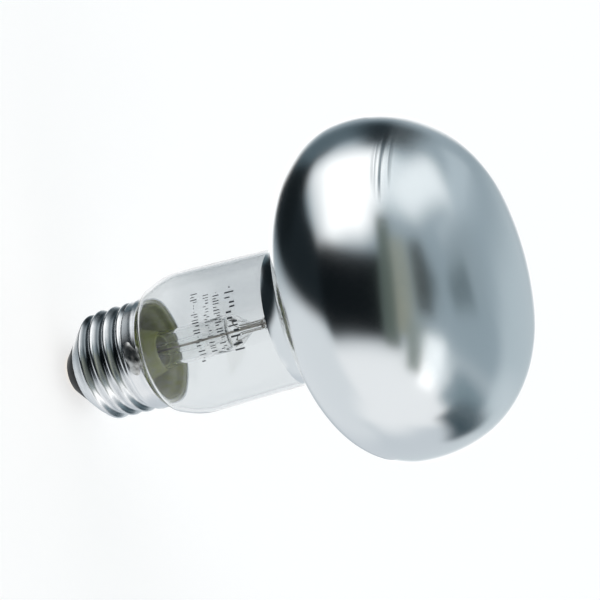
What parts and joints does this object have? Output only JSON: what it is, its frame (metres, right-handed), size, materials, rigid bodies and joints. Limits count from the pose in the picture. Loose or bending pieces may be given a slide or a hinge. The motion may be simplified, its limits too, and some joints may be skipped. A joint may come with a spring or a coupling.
{
  "type": "heat lamp bulb",
  "caption": "Reflector heat lamp bulb with a mirrored mushroom bowl, frosted face, clear neck and screw cap, for a threaded lamp holder",
  "frame": {"origin": "the tip of the centre contact, where the lamp meets the holder's spring", "axes": "+Z is the lamp's axis from the cap to the middle of the face; the side solder on the cap's rim is at -Y"},
  "size_m": [0.08, 0.08, 0.1134],
  "materials": {
    "bulb_glass": "clear neck, mirrored bowl and frosted face on one blown piece",
    "stem_glass": "clear lead glass",
    "lead_wire": "dull drawn nickel and molybdenum wire",
    "tungsten": "dull grey coiled tungsten",
    "cap_metal": "bright rolled sheet",
    "insulator": "opaque glossy black glass",
    "contact_brass": "dull stamped brass",
    "solder": "dull soft solder",
    "cement": "olive-brown baked cement",
    "stamp_ink": "dark fired ink on the neck"
  },
  "bodies": {
    "root": {"glass_envelope": "bulb_glass", "glass_stem": "stem_glass", "exhaust_tube": "stem_glass", "arbor_rod": "stem_glass", "lead_wire_centre": "lead_wire", "lead_wire_side": "lead_wire", "support_wire_1": "lead_wire", "support_wire_2": "lead_wire", "support_wire_3": "lead_wire", "filament": "tungsten", "cap_shell": "cap_metal", "cap_insulator": "insulator", "centre_contact": "contact_brass", "centre_solder": "solder", "side_solder": "solder", "basing_cement": "cement"}
  },
  "joints": []
}
